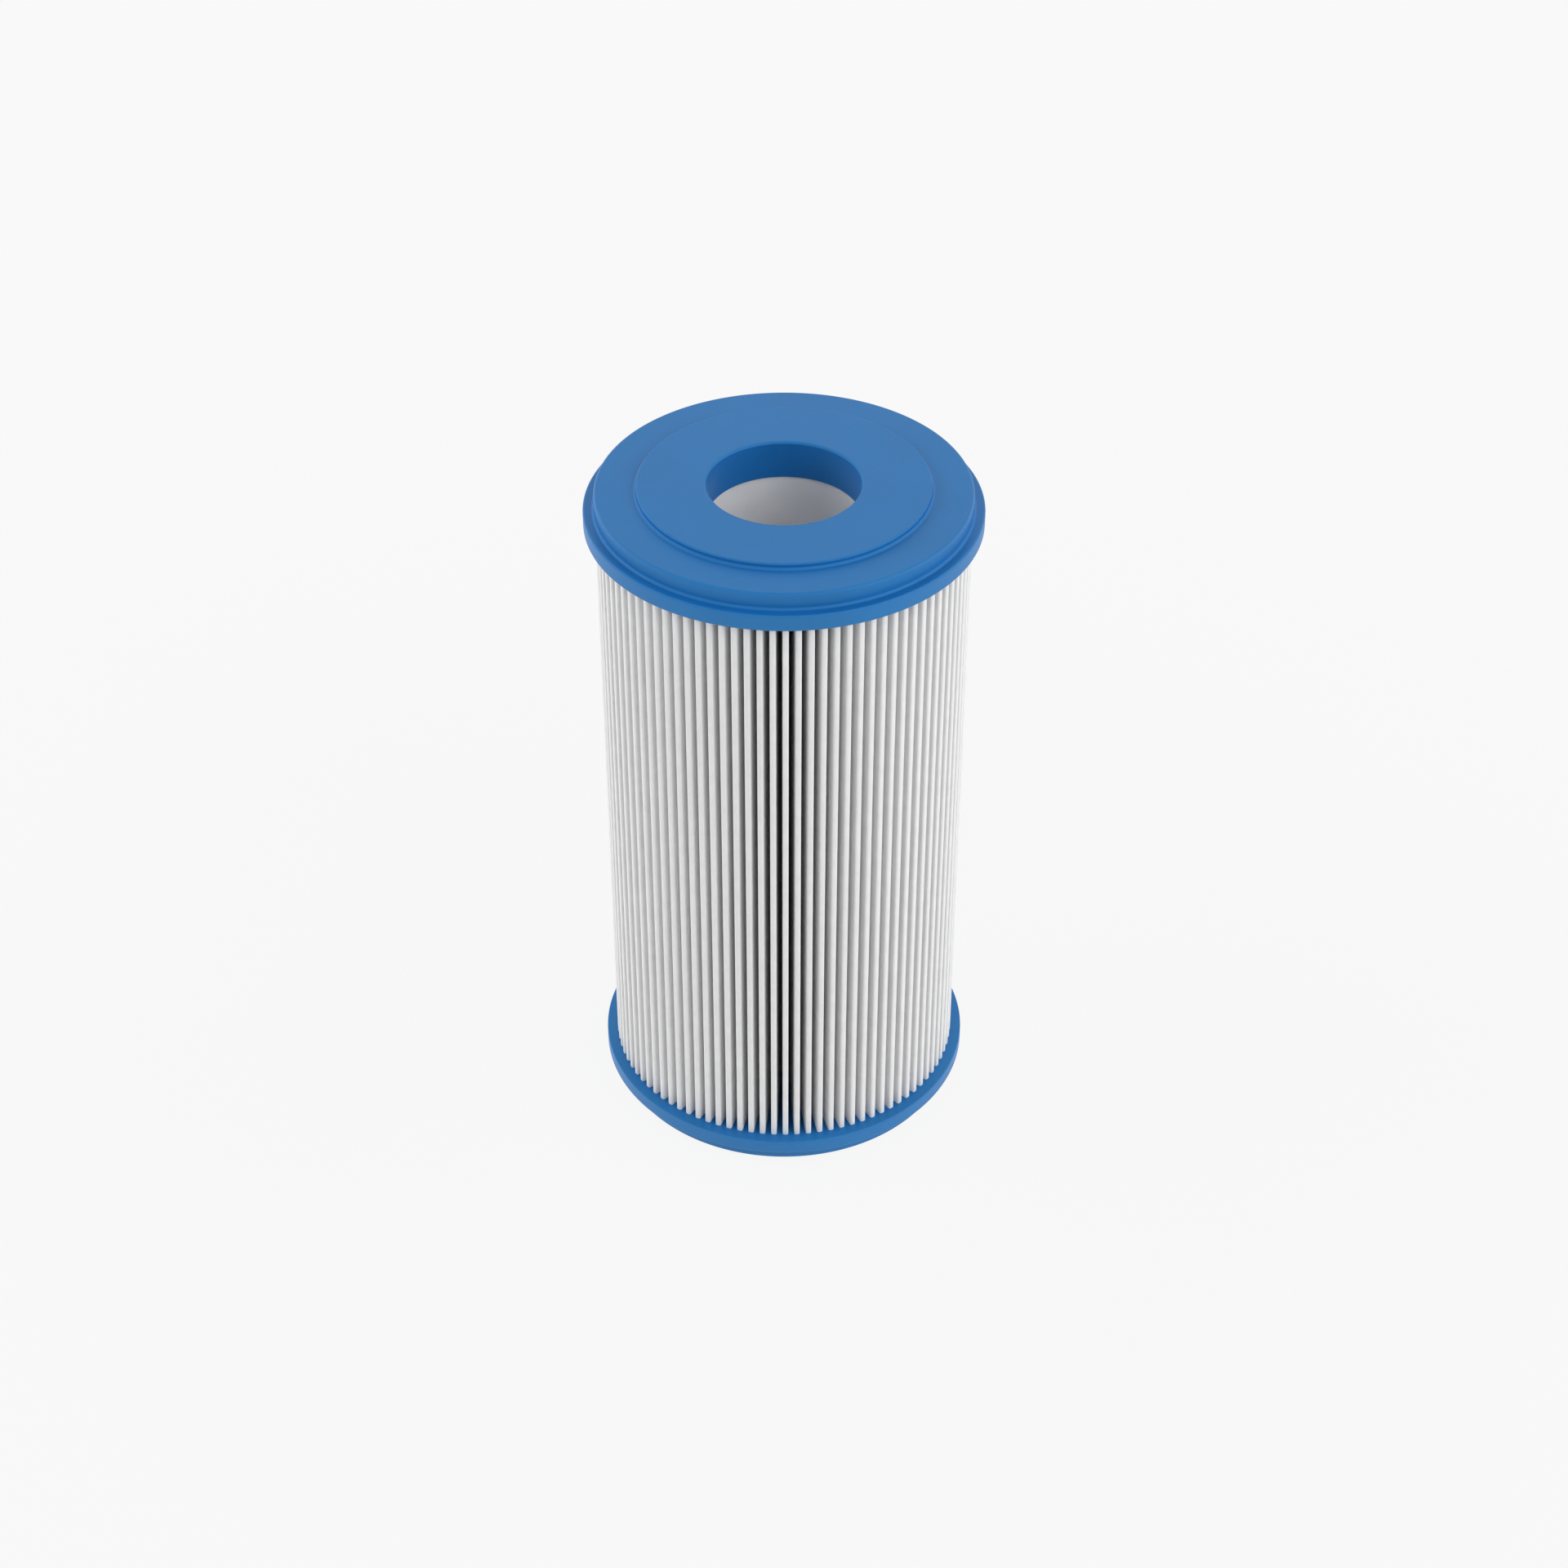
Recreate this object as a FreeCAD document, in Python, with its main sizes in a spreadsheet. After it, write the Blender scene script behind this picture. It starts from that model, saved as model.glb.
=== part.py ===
import FreeCAD, Part

import math
import os

import Sketcher

# Pleated filter element: two moulded end caps, a folded ring of filter media between them
# and a perforated core tube that carries the folds. Millimetres, +Z up, origin at the centre
# of the face it stands on.

SIZES = [
    ("media_length", 181.0, "height of the folded media between the two end caps"),
    ("flange_diameter", 108.0, "widest rim of an end cap"),
    ("flange_thickness", 4.6, "height of that rim"),
    ("flange_land", 3.0, "width of the rim left free around the raised disc"),
    ("disc_height", 4.85, "raised disc above the rim"),
    ("boss_diameter", 79.4, "centre boss on the raised disc"),
    ("boss_height", 1.7, "centre boss above the raised disc"),
    ("foot_bevel", 0.6, "sloped foot around the raised disc and around the boss"),
    ("bore_diameter", 41.5, "through hole of an end cap"),
    ("flange_bevel", 0.45, "outer edge of the rim"),
    ("disc_bevel", 0.6, "edge of the raised disc"),
    ("boss_bevel", 0.4, "edge of the centre boss"),
    ("bore_bevel", 0.6, "edge of the through hole"),
    ("core_setback", 0.7, "inner wall of the core behind the wall of the bore"),
    ("core_wall", 1.7, "wall of the core tube"),
    ("seat_depth", 2.5, "how deep an end of the core sits in its cap"),
    ("seat_clearance", 0.1, "play at each wall of that seat"),
    ("core_end_band", 22.0, "plain wall of the core at each end, before the first windows"),
    ("window_width", 13.0, "window through the wall of the core, across"),
    ("window_height", 29.0, "the same window, along the core"),
    ("window_columns", 6, "windows around the core"),
    ("window_rows", 4, "rows of windows along the core"),
    ("pleat_count", 94, "folds of the media"),
    ("pleat_setback", 3.1, "fold tips behind the edge of the rim"),
    ("pleat_width", 1.65, "width of a fold at its tip"),
    ("sheet_thickness", 0.5, "thickness of the folded sheet"),
    ("media_clearance", 0.15, "play between the inner folds and the core"),
    ("first_fold_angle", -89.52, "direction of the first fold tip, in degrees from +X"),
]

# Heights and radii that follow from the sizes, as expressions on the sheet
TOP_OF_RIM = "sizes.flange_thickness"
TOP_OF_DISC = TOP_OF_RIM + " + sizes.disc_height"
CAP_HEIGHT = TOP_OF_DISC + " + sizes.boss_height"
FLANGE_RADIUS = "sizes.flange_diameter / 2"
DISC_RADIUS = FLANGE_RADIUS + " - sizes.flange_land"
BOSS_RADIUS = "sizes.boss_diameter / 2"
BORE_RADIUS = "sizes.bore_diameter / 2"
CORE_INNER_RADIUS = BORE_RADIUS + " + sizes.core_setback"
CORE_OUTER_RADIUS = CORE_INNER_RADIUS + " + sizes.core_wall"
CORE_LENGTH = "sizes.media_length + 2 * sizes.seat_depth"
ROWS_LENGTH = CORE_LENGTH + " - 2 * sizes.core_end_band - sizes.window_height"
FULL_TURN = 360.0


def make_sheet(doc):
    sheet = doc.addObject("Spreadsheet::Sheet", "sizes")
    for row, (alias, value, meaning) in enumerate(SIZES, start=1):
        sheet.set("A%d" % row, alias.replace("_", " "))
        sheet.set("B%d" % row, str(value))
        sheet.set("C%d" % row, meaning)
        sheet.setAlias("B%d" % row, alias)
    doc.recompute()
    return sheet


def value_of(sheet, expression):
    """The number that an expression on the sheet comes to."""
    return float(sheet.evalExpression(expression))


def origin_feature(body, role):
    return next(item for item in body.Origin.OriginFeatures if item.Role == role)


def new_sketch(body, name, role):
    sketch = body.newObject("Sketcher::SketchObject", name)
    sketch.AttachmentSupport = (origin_feature(body, role), [""])
    sketch.MapMode = "FlatFace"
    return sketch


def bind(sketch, constraint, expression):
    """Add a dimension to a sketch and drive it by an expression."""
    index = sketch.addConstraint(constraint)
    sketch.setExpression("Constraints[%d]" % index, expression)


def draw_section(sheet, sketch, corners):
    """A closed section: each corner's distance from the axis and its height are driven."""
    points = [
        FreeCAD.Vector(value_of(sheet, across), value_of(sheet, height), 0)
        for across, height in corners
    ]
    count = len(points)
    for i in range(count):
        sketch.addGeometry(Part.LineSegment(points[i], points[(i + 1) % count]), False)
    for i in range(count):
        sketch.addConstraint(Sketcher.Constraint("Coincident", i, 2, (i + 1) % count, 1))
    for i, (across, height) in enumerate(corners):
        side = Sketcher.Constraint("DistanceX", -1, 1, i, 1, points[i].x)
        bind(sketch, side, across)
        if height == "0":
            sketch.addConstraint(Sketcher.Constraint("PointOnObject", i, 1, -1))
        else:
            up = Sketcher.Constraint("DistanceY", -1, 1, i, 1, points[i].y)
            bind(sketch, up, height)


def draw_circle(sheet, sketch, radius):
    """A circle about the sketch's origin."""
    size = value_of(sheet, radius)
    circle = Part.Circle(FreeCAD.Vector(), FreeCAD.Vector(0, 0, 1), size)
    index = sketch.addGeometry(circle, False)
    sketch.addConstraint(Sketcher.Constraint("Coincident", index, 3, -1, 1))
    bind(sketch, Sketcher.Constraint("Radius", index, size), radius)


def ring_edges(sheet, feature, radius, height):
    """Names of a turned feature's edges that lie at one radius and one height."""
    wanted_radius = value_of(sheet, radius)
    wanted_height = value_of(sheet, height)
    near = 1e-4
    names = []
    for number, edge in enumerate(feature.Shape.Edges, start=1):
        curve = edge.Curve
        if not isinstance(curve, Part.Circle):
            continue
        same_radius = abs(curve.Radius - wanted_radius) < near
        if same_radius and abs(curve.Center.z - wanted_height) < near:
            names.append("Edge%d" % number)
    return names


def bevel_edge(doc, sheet, body, name, radius, height, bevel):
    """Break the edge at one radius and one height, by a size of the sheet."""
    base = body.Tip
    bevelled = body.newObject("PartDesign::Chamfer", name)
    bevelled.Base = (base, ring_edges(sheet, base, radius, height))
    bevelled.setExpression("Size", bevel)
    doc.recompute()


def turn_section(body, kind, name, section):
    """Revolve a section about the upright axis, to add or to cut."""
    turned = body.newObject(kind, name)
    turned.Profile = section
    turned.ReferenceAxis = (section, ["V_Axis"])
    turned.Angle = FULL_TURN
    return turned


def make_end_cap(doc, sheet, label):
    """One moulded cap: rim, raised disc and boss turned in one, media side at height 0."""
    body = doc.addObject("PartDesign::Body", label)
    body.Label = label

    foot = " + sizes.foot_bevel"
    corners = [
        (BORE_RADIUS, "0"),
        (FLANGE_RADIUS, "0"),
        (FLANGE_RADIUS, TOP_OF_RIM),
        (DISC_RADIUS + foot, TOP_OF_RIM),
        (DISC_RADIUS, TOP_OF_RIM + foot),
        (DISC_RADIUS, TOP_OF_DISC),
        (BOSS_RADIUS + foot, TOP_OF_DISC),
        (BOSS_RADIUS, TOP_OF_DISC + foot),
        (BOSS_RADIUS, CAP_HEIGHT),
        (BORE_RADIUS, CAP_HEIGHT),
    ]
    section = new_sketch(body, label + "_section", "XZ_Plane")
    draw_section(sheet, section, corners)
    turn_section(body, "PartDesign::Revolution", label + "_turned", section)
    doc.recompute()

    seat_inner_radius = CORE_INNER_RADIUS + " - sizes.seat_clearance"
    seat_outer_radius = CORE_OUTER_RADIUS + " + sizes.seat_clearance"
    seat_corners = [
        (seat_inner_radius, "0"),
        (seat_outer_radius, "0"),
        (seat_outer_radius, "sizes.seat_depth"),
        (seat_inner_radius, "sizes.seat_depth"),
    ]
    seat_section = new_sketch(body, label + "_seat_section", "XZ_Plane")
    draw_section(sheet, seat_section, seat_corners)
    turn_section(body, "PartDesign::Groove", label + "_core_seat", seat_section)
    doc.recompute()

    edges = [
        ("rim_edge", FLANGE_RADIUS, TOP_OF_RIM, "sizes.flange_bevel"),
        ("disc_edge", DISC_RADIUS, TOP_OF_DISC, "sizes.disc_bevel"),
        ("boss_edge", BOSS_RADIUS, CAP_HEIGHT, "sizes.boss_bevel"),
        ("bore_edge", BORE_RADIUS, CAP_HEIGHT, "sizes.bore_bevel"),
    ]
    for name, radius, height, bevel in edges:
        bevel_edge(doc, sheet, body, label + "_" + name, radius, height, bevel)
    return body


def make_core_tube(doc, sheet):
    """The tube that the folds lean on, with rows of windows through its wall."""
    body = doc.addObject("PartDesign::Body", "core_tube")
    body.Label = "core_tube"

    wall_section = new_sketch(body, "core_wall_section", "XY_Plane")
    draw_circle(sheet, wall_section, CORE_OUTER_RADIUS)
    draw_circle(sheet, wall_section, CORE_INNER_RADIUS)
    wall = body.newObject("PartDesign::Pad", "core_wall_pad")
    wall.Profile = wall_section
    wall.setExpression("Length", CORE_LENGTH)
    doc.recompute()

    window_top = "sizes.core_end_band + sizes.window_height"
    corners = [
        ("-sizes.window_width / 2", "sizes.core_end_band"),
        ("sizes.window_width / 2", "sizes.core_end_band"),
        ("sizes.window_width / 2", window_top),
        ("-sizes.window_width / 2", window_top),
    ]
    window_section = new_sketch(body, "core_window_section", "XZ_Plane")
    draw_section(sheet, window_section, corners)
    window = body.newObject("PartDesign::Pocket", "core_first_window")
    window.Profile = window_section
    window.Type = "ThroughAll"
    doc.recompute()

    windows = body.newObject("PartDesign::MultiTransform", "core_windows")
    windows.Originals = [window]
    around = body.newObject("PartDesign::PolarPattern", "core_windows_around")
    around.Axis = (wall_section, ["N_Axis"])
    around.Angle = FULL_TURN
    around.setExpression("Occurrences", "sizes.window_columns")
    along = body.newObject("PartDesign::LinearPattern", "core_windows_along")
    along.Direction = (wall_section, ["N_Axis"])
    along.setExpression("Length", ROWS_LENGTH)
    along.setExpression("Occurrences", "sizes.window_rows")
    windows.Transformations = [around, along]
    body.Tip = windows
    doc.recompute()
    body.setExpression("Placement.Base.z", CAP_HEIGHT + " - sizes.seat_depth")
    return body


def polar(radius, angle):
    return FreeCAD.Vector(radius * math.cos(angle), radius * math.sin(angle), 0)


def across(vector, side):
    """The vector itself on side 1, or its mirror image across the X axis on side -1."""
    return FreeCAD.Vector(vector.x, side * vector.y, 0)


def fold_corners(sheet):
    """Corners of half a fold, its tip on +X: the sheet's outer face, then its inner face.

    The sheet turns at four pressed creases, two at the tip and two at the root. A tip crease
    is sharp inside and bevelled outside. At the root the folds share the room around the core
    evenly, so the slit outside the sheet is as wide as the slit inside it.
    """
    thickness = value_of(sheet, "sizes.sheet_thickness")
    half_width = value_of(sheet, "sizes.pleat_width") / 2
    half_pitch = math.pi / value_of(sheet, "sizes.pleat_count")
    tip_radius = value_of(sheet, FLANGE_RADIUS + " - sizes.pleat_setback")
    inner_radius = value_of(sheet, CORE_OUTER_RADIUS + " + sizes.media_clearance")
    root_radius = inner_radius + thickness
    half_slit = (root_radius * math.sin(half_pitch) - thickness) / 2

    out_of_root = polar(1, half_pitch)
    along_root = polar(1, half_pitch - math.pi / 2)
    tip_crease = FreeCAD.Vector(tip_radius - thickness, half_width - thickness, 0)
    root_crease = out_of_root * root_radius + along_root * half_slit

    wall = root_crease - tip_crease
    wall_angle = math.atan2(wall.y, wall.x) + math.asin(thickness / wall.Length)
    down_wall = polar(1, wall_angle)
    to_outside = polar(thickness, wall_angle - math.pi / 2)
    behind_crease = root_crease - to_outside
    to_core = (inner_radius - behind_crease.dot(out_of_root)) / down_wall.dot(out_of_root)
    outer = [
        FreeCAD.Vector(tip_radius, tip_crease.y, 0),
        tip_crease + to_outside,
        root_crease,
    ]
    inner = [
        tip_crease,
        behind_crease + down_wall * to_core,
    ]
    return outer, inner


def ring_outline(sheet, half_fold):
    """A closed wire of straight runs: half a fold's corners, mirrored and turned around."""
    count = int(value_of(sheet, "sizes.pleat_count"))
    first_angle = value_of(sheet, "sizes.first_fold_angle")
    fold = [across(corner, -1) for corner in reversed(half_fold)] + half_fold
    corners = []
    for i in range(count):
        turn = FreeCAD.Rotation(FreeCAD.Vector(0, 0, 1), first_angle + i * FULL_TURN / count)
        corners += [turn.multVec(corner) for corner in fold]
    return Part.makePolygon(corners + corners[:1])


def make_pleated_media(doc, sheet):
    """The folded ring, one closed sheet: its section here, its height as an extrusion."""
    outer, inner = fold_corners(sheet)
    inner_outline = ring_outline(sheet, inner)
    inner_outline.reverse()
    section = doc.addObject("Part::Feature", "media_section")
    section.Shape = Part.Face([ring_outline(sheet, outer), inner_outline])
    media = doc.addObject("Part::Extrusion", "pleated_media")
    media.Label = "pleated_media"
    media.Base = section
    media.DirMode = "Custom"
    media.Dir = FreeCAD.Vector(0, 0, 1)
    media.Solid = True
    media.setExpression("LengthFwd", "sizes.media_length")
    media.setExpression("Placement.Base.z", CAP_HEIGHT)
    return media


def check_model(doc, parts):
    for item in doc.Objects:
        if "Invalid" in item.State or "Error" in item.State:
            raise RuntimeError("failed to compute: " + item.Name)
    for item in parts:
        if item.Shape.isNull() or not item.Shape.isValid():
            raise RuntimeError("no valid shape: " + item.Label)


def main():
    doc = FreeCAD.newDocument("filter_element")
    sheet = make_sheet(doc)

    top_cap = make_end_cap(doc, sheet, "top_end_cap")
    top_cap.setExpression("Placement.Base.z", CAP_HEIGHT + " + sizes.media_length")
    bottom_cap = make_end_cap(doc, sheet, "bottom_end_cap")
    upside_down = FreeCAD.Rotation(FreeCAD.Vector(1, 0, 0), 180)
    bottom_cap.Placement = FreeCAD.Placement(FreeCAD.Vector(), upside_down)
    bottom_cap.setExpression("Placement.Base.z", CAP_HEIGHT)
    core = make_core_tube(doc, sheet)
    media = make_pleated_media(doc, sheet)
    doc.recompute()

    parts = [top_cap, bottom_cap, core, media]
    check_model(doc, parts)
    os.makedirs("parts", exist_ok=True)
    for item in parts:
        item.Shape.exportStep("parts/" + item.Label + ".step")
        print(item.Label, len(item.Shape.Solids), "solid,", round(item.Shape.Volume, 1), "mm3")


main()
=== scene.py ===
import math

import bpy
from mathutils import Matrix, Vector


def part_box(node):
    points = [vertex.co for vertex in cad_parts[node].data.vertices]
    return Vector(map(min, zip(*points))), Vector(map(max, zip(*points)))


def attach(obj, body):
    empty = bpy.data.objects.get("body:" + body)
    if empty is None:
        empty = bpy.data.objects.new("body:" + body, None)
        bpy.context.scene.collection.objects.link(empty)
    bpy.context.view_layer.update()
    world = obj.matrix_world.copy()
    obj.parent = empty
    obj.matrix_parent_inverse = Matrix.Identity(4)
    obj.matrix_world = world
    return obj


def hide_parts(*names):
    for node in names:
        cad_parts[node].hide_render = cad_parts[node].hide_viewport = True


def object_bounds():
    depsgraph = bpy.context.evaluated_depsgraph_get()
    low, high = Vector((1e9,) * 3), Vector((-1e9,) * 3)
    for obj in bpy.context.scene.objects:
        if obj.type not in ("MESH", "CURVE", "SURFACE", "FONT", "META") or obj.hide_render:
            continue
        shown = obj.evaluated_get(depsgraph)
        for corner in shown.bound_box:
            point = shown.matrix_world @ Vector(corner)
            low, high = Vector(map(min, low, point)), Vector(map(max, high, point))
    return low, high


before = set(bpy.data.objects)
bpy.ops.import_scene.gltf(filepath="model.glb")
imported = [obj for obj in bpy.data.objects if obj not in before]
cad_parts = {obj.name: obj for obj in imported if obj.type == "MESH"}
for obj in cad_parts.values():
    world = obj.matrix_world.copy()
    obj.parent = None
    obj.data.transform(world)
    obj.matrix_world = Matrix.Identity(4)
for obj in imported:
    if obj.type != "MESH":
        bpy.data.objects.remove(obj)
cad_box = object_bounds()

# Sizes of the real element, in metres. The overall heights and radii come from the frame, and
# these are the finer ones that it doesn't show.
MM = 0.001
RIM_HEIGHT = 4.6 * MM
DISC_HEIGHT = 4.85 * MM
DISC_SETBACK = 3.0 * MM
BOSS_RADIUS = 39.7 * MM
BORE_RADIUS = 20.75 * MM
SEAT_DEPTH = 2.5 * MM
SEAT_PLAY = 0.1 * MM
CORE_WALL = 1.7 * MM
FOLD_COUNT = 94
FOLD_WIDTH = 1.65 * MM
FOLD_SETBACK = 3.1 * MM
FIRST_FOLD_ANGLE = math.radians(-89.52)
SHEET_THICKNESS = 0.5 * MM
MEDIA_PLAY = 0.15 * MM

# Round edges of the moulded caps, and of the sheet's creases outside and inside
RIM_ROUND = 0.55 * MM
UNDER_ROUND = 0.3 * MM
DISC_ROUND = 0.8 * MM
BOSS_ROUND = 0.5 * MM
BORE_ROUND = 0.75 * MM
FOOT_ROUND = 0.8 * MM
SEAT_ROUND = 0.15 * MM
CROWN_ROUND = 0.55 * MM
CREASE_ROUND = 0.05 * MM

# Fineness of the meshes. Support points lie SUPPORT away from a round or an end, so that the
# flat face next to it is lit as a flat one.
CAP_SEGMENTS = 256
ARC_SEGMENTS = 6
ROOT_SEGMENTS = 3
SUPPORT = 0.02 * MM

# Grain of the plastic and of the nonwoven sheet
NOISE_LOW = 0.35
NOISE_HIGH = 0.65
FLOW_SIZE = 18 * MM
FLOW_DETAIL = 2
PLASTIC_COLOUR_DRIFT = 0.03
PLASTIC_ROUGHNESS_DRIFT = 0.04
GRAIN_SIZE = 0.35 * MM
GRAIN_DETAIL = 3
GRAIN_DEPTH = 0.004 * MM
CLOUD_SIZE = 4 * MM
CLOUD_DETAIL = 3
SHEET_COLOUR_DRIFT = 0.02
FIBRE_WIDTH = 0.1 * MM
FIBRE_LENGTH = 2.5 * MM
FIBRE_DETAIL = 2
FIBRE_DEPTH = 0.004 * MM
FIBRE_LEANS = [-0.6, 0.1, 0.7]

# Camera and studio, with lengths in metres. The floor shows SHADOW_SHARE of its own light and
# shadow up to SHADOW_REACH from the axis, and none of it from SHADOW_END on.
CAMERA_DISTANCE = 0.84285
CAMERA_PITCH = math.radians(37.586)
CAMERA_VIEW = math.radians(30)
CAMERA_NEAR = 0.01
CAMERA_FAR = 100
BACKGROUND = 0.947
WORLD_LEVEL = 0.3
FLOOR_REACH = 30
FLOOR_WHITE = 0.9
SHADOW_SHARE = 0.05
SHADOW_REACH = 0.15
SHADOW_END = 0.5
LIGHT_DISTANCE = 4.0
LIGHT_SIZE = 2.2
LIGHT_AIM = Vector((0, 0, 0.1))

top_low, top_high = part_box("top_end_cap")
bottom_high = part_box("bottom_end_cap")[1]
media_low, media_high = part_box("pleated_media")
core_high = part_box("core_tube")[1]
RIM_RADIUS = (cad_box[1].x - cad_box[0].x) / 2
CAP_HEIGHT = top_high.z - top_low.z
CORE_OUTER_RADIUS = core_high.x
CORE_INNER_RADIUS = CORE_OUTER_RADIUS - CORE_WALL
FOLD_TIP_RADIUS = RIM_RADIUS - FOLD_SETBACK


def new_piece(name, vertices, faces):
    mesh = bpy.data.meshes.new(name)
    mesh.from_pydata(vertices, [], faces)
    mesh.validate()
    mesh.update()
    mesh.polygons.foreach_set("use_smooth", [True] * len(mesh.polygons))
    piece = bpy.data.objects.new(name, mesh)
    bpy.context.scene.collection.objects.link(piece)
    return piece


def direction(angle):
    return Vector((math.cos(angle), math.sin(angle)))


def rounded_corner(before, corner, after, radius):
    """Points of an arc in place of a corner, with a support point on each straight side."""
    to_before = (before - corner).normalized()
    to_after = (after - corner).normalized()
    opening = to_before.angle(to_after)
    reach = radius / math.tan(opening / 2)
    middle = (to_before + to_after).normalized()
    centre = corner + middle * (radius / math.sin(opening / 2))
    start = corner + to_before * reach - centre
    end = corner + to_after * reach - centre
    turn = start.angle_signed(end)
    points = [corner + to_before * (reach + SUPPORT)]
    for i in range(ARC_SEGMENTS + 1):
        angle = -turn * i / ARC_SEGMENTS
        spin = Vector((
            start.x * math.cos(angle) - start.y * math.sin(angle),
            start.x * math.sin(angle) + start.y * math.cos(angle),
        ))
        points.append(centre + spin)
    points.append(corner + to_after * (reach + SUPPORT))
    return points


def cap_outline():
    """Closed section of an end cap: distance from the axis and height above the media."""
    disc_radius = RIM_RADIUS - DISC_SETBACK
    disc_top = RIM_HEIGHT + DISC_HEIGHT
    seat_inner = CORE_INNER_RADIUS - SEAT_PLAY
    seat_outer = CORE_OUTER_RADIUS + SEAT_PLAY
    corners = [
        (BORE_RADIUS, 0, SEAT_ROUND),
        (seat_inner, 0, SEAT_ROUND),
        (seat_inner, SEAT_DEPTH, SEAT_ROUND),
        (seat_outer, SEAT_DEPTH, SEAT_ROUND),
        (seat_outer, 0, SEAT_ROUND),
        (RIM_RADIUS, 0, UNDER_ROUND),
        (RIM_RADIUS, RIM_HEIGHT, RIM_ROUND),
        (disc_radius, RIM_HEIGHT, FOOT_ROUND),
        (disc_radius, disc_top, DISC_ROUND),
        (BOSS_RADIUS, disc_top, FOOT_ROUND),
        (BOSS_RADIUS, CAP_HEIGHT, BOSS_ROUND),
        (BORE_RADIUS, CAP_HEIGHT, BORE_ROUND),
    ]
    outline = []
    for i, (radius, height, rounding) in enumerate(corners):
        before = Vector(corners[i - 1][:2])
        after = Vector(corners[(i + 1) % len(corners)][:2])
        outline += rounded_corner(before, Vector((radius, height)), after, rounding)
    return outline


def make_end_cap(name, node, media_end, upward):
    """A cap turned from its section, which starts at the media's end and rises or sinks."""
    outline = cap_outline()
    count = len(outline)
    vertices = []
    faces = []
    for step in range(CAP_SEGMENTS):
        around = direction(math.tau * step / CAP_SEGMENTS)
        for point in outline:
            height = media_end + upward * point.y
            vertices.append((around.x * point.x, around.y * point.x, height))
        following = (step + 1) % CAP_SEGMENTS
        for i in range(count):
            j = (i + 1) % count
            face = (
                step * count + i, following * count + i,
                following * count + j, step * count + j,
            )
            faces.append(face if upward > 0 else face[::-1])
    piece = new_piece(name, vertices, faces)
    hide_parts(node)
    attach(piece, "root")
    return piece


def arc_points(centre, radius, start, end, segments):
    """Points along the short arc about a centre, from one direction to another."""
    turn = (end - start + math.pi) % math.tau - math.pi
    return [
        centre + direction(start + turn * i / segments) * radius
        for i in range(segments + 1)
    ]


def half_fold(offset):
    """One face of half a fold, its crown on +X: crown corner, wall, and half of the root.

    At the root the slit outside the sheet is as wide as the slit inside it.
    """
    half_pitch = math.pi / FOLD_COUNT
    inner_radius = CORE_OUTER_RADIUS + MEDIA_PLAY
    share = math.sin(half_pitch)
    root_bend = (inner_radius + SHEET_THICKNESS) * share - SHEET_THICKNESS
    root_bend /= 2 - share
    root_centre = direction(half_pitch) * (inner_radius + SHEET_THICKNESS + root_bend)
    outer_corner = Vector((FOLD_TIP_RADIUS, FOLD_WIDTH / 2))
    along = root_centre - outer_corner
    lean = math.asin(root_bend / along.length)
    wall_angle = math.atan2(along.y, along.x) + lean
    normal_angle = wall_angle - math.pi / 2
    down_wall = direction(wall_angle)
    corner = outer_corner - direction(normal_angle) * offset
    corner += down_wall * ((FOLD_TIP_RADIUS - offset - corner.x) / down_wall.x)
    crown_middle = Vector((corner.x, 0))
    rounding = max(CROWN_ROUND - offset, CREASE_ROUND)
    crown = rounded_corner(crown_middle, corner, corner + down_wall, rounding)
    root = arc_points(
        root_centre, root_bend + offset,
        normal_angle + math.pi, half_pitch + math.pi, ROOT_SEGMENTS,
    )
    return crown + [root[0] - down_wall * SUPPORT] + root


def ring_points(offset):
    """All folds of one face of the sheet, in order around the axis."""
    half = half_fold(offset)
    fold = [Vector((p.x, -p.y)) for p in reversed(half[:-1])] + half
    points = []
    for i in range(FOLD_COUNT):
        angle = FIRST_FOLD_ANGLE + math.tau * i / FOLD_COUNT
        x_axis = direction(angle)
        y_axis = direction(angle + math.pi / 2)
        points += [x_axis * p.x + y_axis * p.y for p in fold]
    return points


def make_media():
    """The folded sheet, one closed skin, with a ring of support points next to each end."""
    outer = ring_points(0)
    inner = ring_points(SHEET_THICKNESS)
    count = len(outer)
    low = media_low.z
    high = media_high.z
    rising = [low, low + SUPPORT, high - SUPPORT, high]
    loops = [(outer, height) for height in rising] + [(inner, height) for height in rising[::-1]]
    vertices = [(p.x, p.y, height) for points, height in loops for p in points]
    faces = []
    for ring in range(len(loops)):
        following = (ring + 1) % len(loops)
        for i in range(count):
            j = (i + 1) % count
            faces.append((
                ring * count + i, ring * count + j,
                following * count + j, following * count + i,
            ))
    piece = new_piece("folded_media", vertices, faces)
    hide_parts("pleated_media")
    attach(piece, "root")
    middle = ring_points(SHEET_THICKNESS / 2)
    return piece


def new_material(name, base, roughness, specular, tint=(1, 1, 1)):
    material = bpy.data.materials.new(name)
    material.use_nodes = True
    shader = material.node_tree.nodes["Principled BSDF"]
    shader.inputs["Base Color"].default_value = (*base, 1)
    shader.inputs["Roughness"].default_value = roughness
    shader.inputs["Specular IOR Level"].default_value = specular
    shader.inputs["Specular Tint"].default_value = (*tint, 1)
    return material


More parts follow.
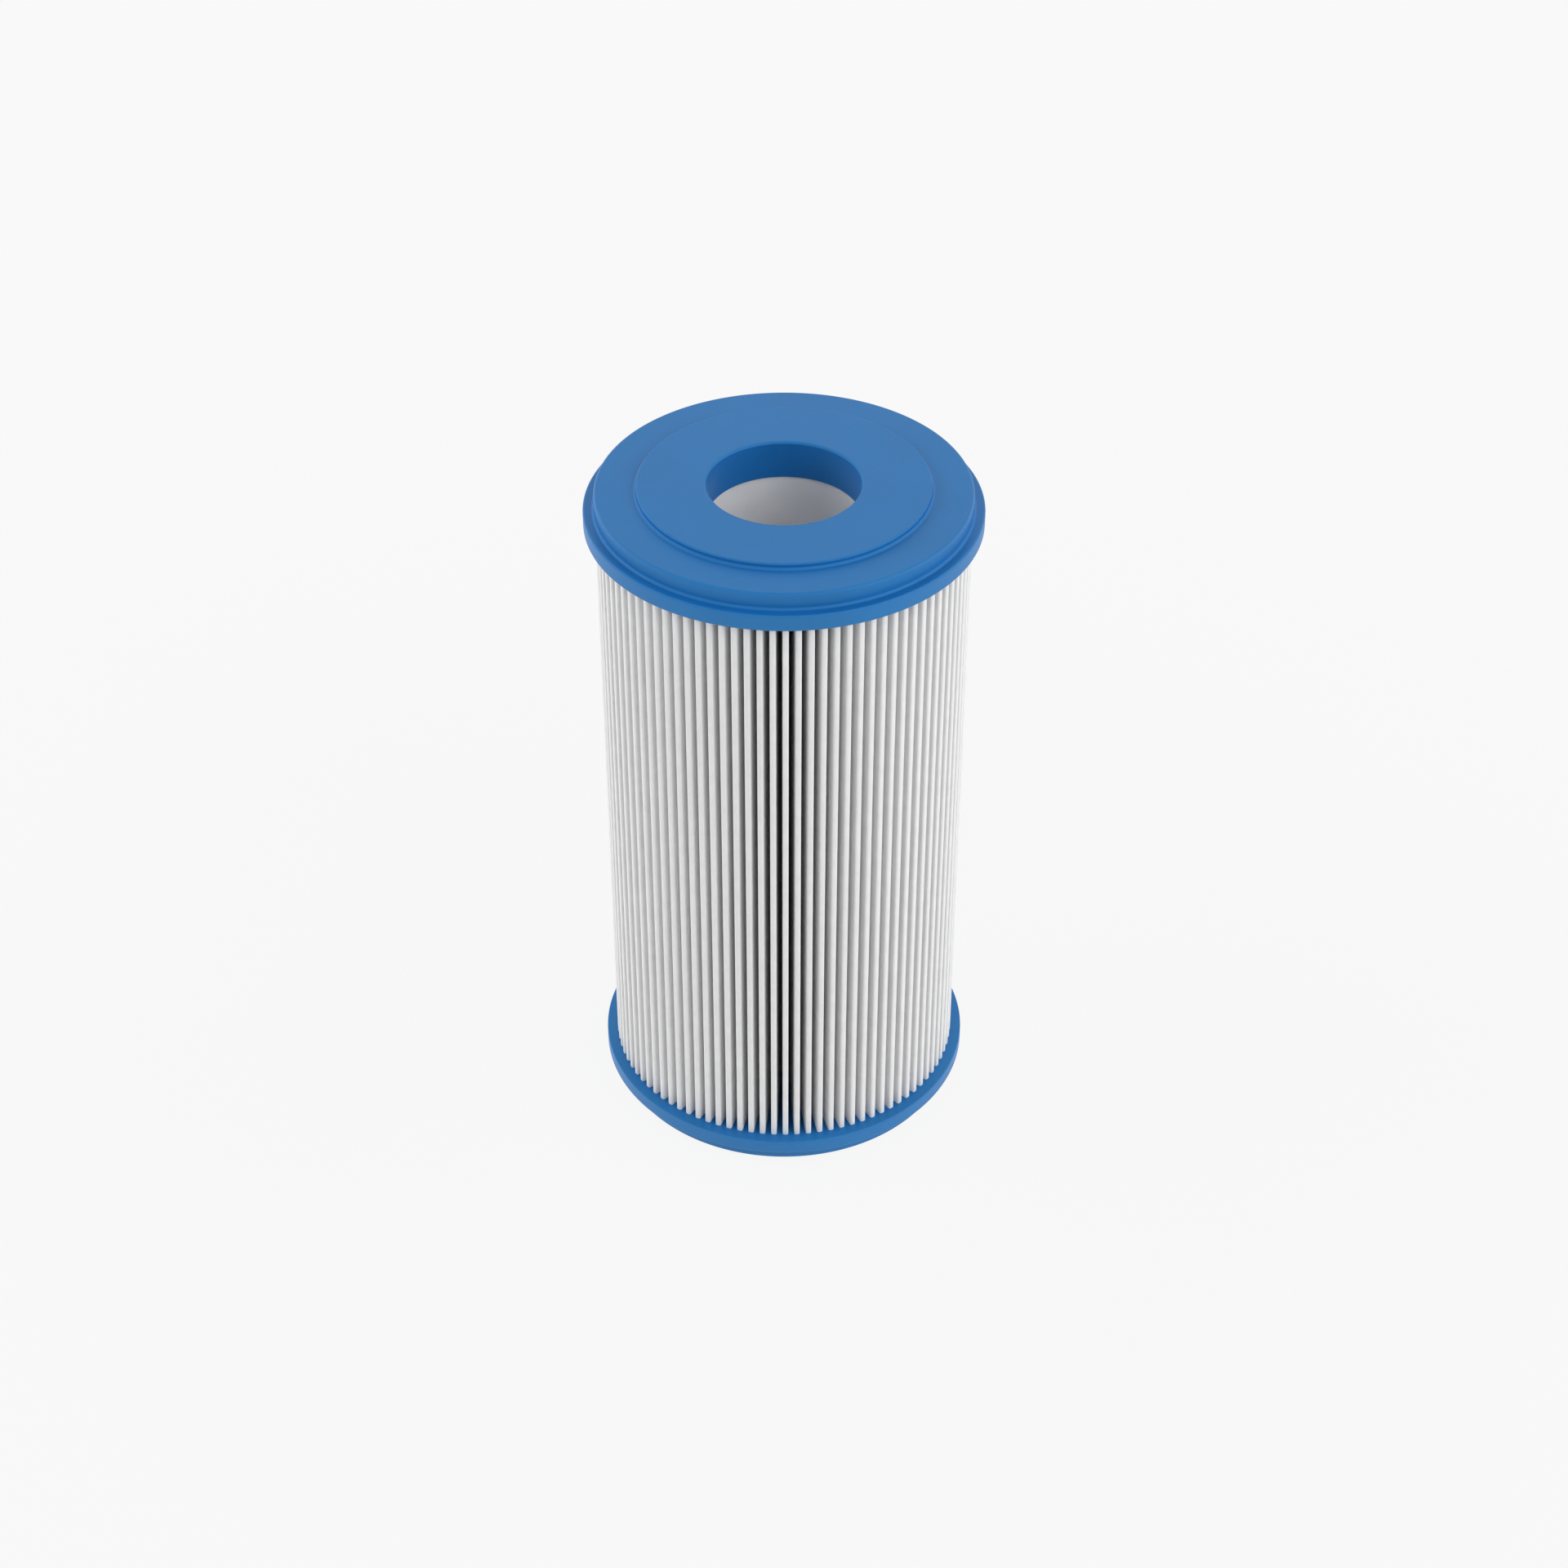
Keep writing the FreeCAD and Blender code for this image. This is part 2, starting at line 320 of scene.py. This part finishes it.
def object_noise(tree, cell, detail, turn=(0, 0, 0)):
    """A noise that stays on the object. cell is its grain's size along each turned axis."""
    place = tree.nodes.new("ShaderNodeTexCoord")
    mapping = tree.nodes.new("ShaderNodeMapping")
    mapping.vector_type = "TEXTURE"
    mapping.inputs["Rotation"].default_value = turn
    mapping.inputs["Scale"].default_value = cell
    noise = tree.nodes.new("ShaderNodeTexNoise")
    noise.inputs["Scale"].default_value = 1
    noise.inputs["Detail"].default_value = detail
    tree.links.new(place.outputs["Object"], mapping.inputs["Vector"])
    tree.links.new(mapping.outputs["Vector"], noise.inputs["Vector"])
    return noise.outputs["Fac"]


def drift_colour(tree, noise, base, change):
    """The base colour wanders with a noise, by a share of itself to each side."""
    ramp = tree.nodes.new("ShaderNodeValToRGB")
    low, high = ramp.color_ramp.elements
    low.position = NOISE_LOW
    high.position = NOISE_HIGH
    low.color = (*[value * (1 - change) for value in base], 1)
    high.color = (*[value * (1 + change) for value in base], 1)
    shader = tree.nodes["Principled BSDF"]
    tree.links.new(noise, ramp.inputs["Fac"])
    tree.links.new(ramp.outputs["Color"], shader.inputs["Base Color"])


def drift_roughness(tree, noise, roughness, change):
    """The roughness wanders with a noise, by the same amount to each side."""
    spread = tree.nodes.new("ShaderNodeMapRange")
    spread.inputs["From Min"].default_value = NOISE_LOW
    spread.inputs["From Max"].default_value = NOISE_HIGH
    spread.inputs["To Min"].default_value = roughness - change
    spread.inputs["To Max"].default_value = roughness + change
    shader = tree.nodes["Principled BSDF"]
    tree.links.new(noise, spread.inputs["Value"])
    tree.links.new(spread.outputs["Result"], shader.inputs["Roughness"])


def add_bump(tree, noise, depth):
    """Relief of a noise, over the relief that the shader has already."""
    bump = tree.nodes.new("ShaderNodeBump")
    bump.inputs["Distance"].default_value = depth
    normal = tree.nodes["Principled BSDF"].inputs["Normal"]
    if normal.is_linked:
        tree.links.new(normal.links[0].from_socket, bump.inputs["Normal"])
    tree.links.new(noise, bump.inputs["Height"])
    tree.links.new(bump.outputs["Normal"], normal)


def moulded_plastic(name, base, roughness, specular, tint=(1, 1, 1)):
    """Moulded plastic: tone and gloss wander a little, and the skin has a fine grain."""
    material = new_material(name, base, roughness, specular, tint)
    tree = material.node_tree
    flow = object_noise(tree, (FLOW_SIZE, FLOW_SIZE, FLOW_SIZE), FLOW_DETAIL)
    grain = object_noise(tree, (GRAIN_SIZE, GRAIN_SIZE, GRAIN_SIZE), GRAIN_DETAIL)
    drift_colour(tree, flow, base, PLASTIC_COLOUR_DRIFT)
    drift_roughness(tree, grain, roughness, PLASTIC_ROUGHNESS_DRIFT)
    add_bump(tree, grain, GRAIN_DEPTH)
    return material


def pressed_fibres(name, base, roughness, specular):
    """Nonwoven sheet: thin fibres that lie in three directions, pressed flat."""
    material = new_material(name, base, roughness, specular)
    tree = material.node_tree
    cloud = object_noise(tree, (CLOUD_SIZE, CLOUD_SIZE, CLOUD_SIZE), CLOUD_DETAIL)
    drift_colour(tree, cloud, base, SHEET_COLOUR_DRIFT)
    fibre = (FIBRE_WIDTH, FIBRE_WIDTH, FIBRE_LENGTH)
    for lean in FIBRE_LEANS:
        fibres = object_noise(tree, fibre, FIBRE_DETAIL, turn=(lean, lean, 0))
        add_bump(tree, fibres, FIBRE_DEPTH)
    return material


def set_material(piece, material):
    piece.data.materials.clear()
    piece.data.materials.append(material)


def make_camera():
    """The photograph's camera, which looks down at the element's middle from the front."""
    aim = Vector((0, 0, (cad_box[0].z + cad_box[1].z) / 2))
    away = Vector((0, -math.cos(CAMERA_PITCH), math.sin(CAMERA_PITCH)))
    data = bpy.data.cameras.new("camera")
    data.sensor_fit = "HORIZONTAL"
    data.angle = CAMERA_VIEW
    data.clip_start = CAMERA_NEAR
    data.clip_end = CAMERA_FAR
    camera = bpy.data.objects.new("camera", data)
    bpy.context.scene.collection.objects.link(camera)
    camera.location = aim + away * CAMERA_DISTANCE
    camera.rotation_euler = (math.pi / 2 - CAMERA_PITCH, 0, 0)
    bpy.context.scene.camera = camera


def add_soft_box(name, azimuth, elevation, power):
    """A soft box aimed at about the element's middle. Azimuth 0 is in front, 90 on the right."""
    data = bpy.data.lights.new(name, "AREA")
    data.shape = "SQUARE"
    data.size = LIGHT_SIZE
    data.energy = power
    light = bpy.data.objects.new(name, data)
    bpy.context.scene.collection.objects.link(light)
    a = math.radians(azimuth)
    e = math.radians(elevation)
    towards = Vector((math.sin(a) * math.cos(e), -math.cos(a) * math.cos(e), math.sin(e)))
    light.location = LIGHT_AIM + towards * LIGHT_DISTANCE
    light.rotation_euler = towards.to_track_quat("Z", "Y").to_euler()
    light.visible_glossy = False


def seen_directly(nodes, links):
    """1 for rays that show a thing itself, in the camera, a gloss or glass, else 0."""
    path = nodes.new("ShaderNodeLightPath")
    seen = path.outputs["Is Camera Ray"]
    for kind in ("Is Glossy Ray", "Is Transmission Ray"):
        either = nodes.new("ShaderNodeMath")
        either.operation = "MAXIMUM"
        links.new(seen, either.inputs[0])
        links.new(path.outputs[kind], either.inputs[1])
        seen = either.outputs[0]
    return seen


def make_world():
    """A dim white world, which shows the background's colour where it is seen."""
    world = bpy.data.worlds.new("studio")
    bpy.context.scene.world = world
    world.use_nodes = True
    nodes = world.node_tree.nodes
    links = world.node_tree.links
    light = nodes["Background"]
    light.inputs["Color"].default_value = (1, 1, 1, 1)
    light.inputs["Strength"].default_value = WORLD_LEVEL
    shown = nodes.new("ShaderNodeBackground")
    shown.inputs["Color"].default_value = (BACKGROUND, BACKGROUND, BACKGROUND, 1)
    mix = nodes.new("ShaderNodeMixShader")
    links.new(seen_directly(nodes, links), mix.inputs[0])
    links.new(light.outputs[0], mix.inputs[1])
    links.new(shown.outputs[0], mix.inputs[2])
    links.new(mix.outputs[0], nodes["World Output"].inputs["Surface"])


def background_share(nodes, links):
    """How much of the floor is the plain background: all of it far from the element."""
    place = nodes.new("ShaderNodeTexCoord")
    distance = nodes.new("ShaderNodeVectorMath")
    distance.operation = "LENGTH"
    fade = nodes.new("ShaderNodeMapRange")
    fade.inputs["From Min"].default_value = SHADOW_REACH
    fade.inputs["From Max"].default_value = SHADOW_END
    fade.inputs["To Min"].default_value = 1 - SHADOW_SHARE
    fade.inputs["To Max"].default_value = 1
    links.new(place.outputs["Object"], distance.inputs[0])
    links.new(distance.outputs["Value"], fade.inputs["Value"])
    return fade.outputs["Result"]


def floor_material():
    """White floor that shows the background's colour, and near the element its shadow too."""
    white = (FLOOR_WHITE, FLOOR_WHITE, FLOOR_WHITE)
    material = new_material("floor", white, roughness=1, specular=0)
    nodes = material.node_tree.nodes
    links = material.node_tree.links
    glow = nodes.new("ShaderNodeEmission")
    glow.inputs["Color"].default_value = (BACKGROUND, BACKGROUND, BACKGROUND, 1)
    share = nodes.new("ShaderNodeMath")
    share.operation = "MULTIPLY"
    mix = nodes.new("ShaderNodeMixShader")
    links.new(seen_directly(nodes, links), share.inputs[0])
    links.new(background_share(nodes, links), share.inputs[1])
    links.new(share.outputs[0], mix.inputs[0])
    links.new(nodes["Principled BSDF"].outputs[0], mix.inputs[1])
    links.new(glow.outputs[0], mix.inputs[2])
    links.new(mix.outputs[0], nodes["Material Output"].inputs["Surface"])
    return material


def make_floor():
    reach = FLOOR_REACH
    vertices = [(-reach, -reach, 0), (reach, -reach, 0), (reach, reach, 0), (-reach, reach, 0)]
    floor = new_piece("floor", vertices, [(0, 1, 2, 3)])
    set_material(floor, floor_material())


blue = moulded_plastic(
    "blue_plastic", base=(0.0062, 0.136, 0.435), roughness=0.45, specular=1.0, tint=(0.45, 1, 1),
)
white = pressed_fibres("folded_sheet", base=(0.875, 0.875, 0.875), roughness=0.9, specular=0.2)
grey = moulded_plastic("core_plastic", base=(0.91, 0.895, 0.88), roughness=0.5, specular=0.3)

top_cap = make_end_cap("top_cap_moulding", "top_end_cap", top_low.z, 1)
bottom_cap = make_end_cap("bottom_cap_moulding", "bottom_end_cap", bottom_high.z, -1)
media = make_media()
set_material(top_cap, blue)
set_material(bottom_cap, blue)
set_material(media, white)
set_material(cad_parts["core_tube"], grey)

make_camera()
make_world()
make_floor()
add_soft_box("front_high", azimuth=0, elevation=50, power=14)
add_soft_box("front_right", azimuth=45, elevation=30, power=49)
add_soft_box("right_low", azimuth=90, elevation=10, power=38)
add_soft_box("right_high", azimuth=90, elevation=50, power=22.5)
add_soft_box("left_low", azimuth=-90, elevation=10, power=44)
add_soft_box("left_high", azimuth=-90, elevation=30, power=31)
add_soft_box("back_left", azimuth=-135, elevation=10, power=56)

bpy.context.scene.view_settings.view_transform = "Standard"
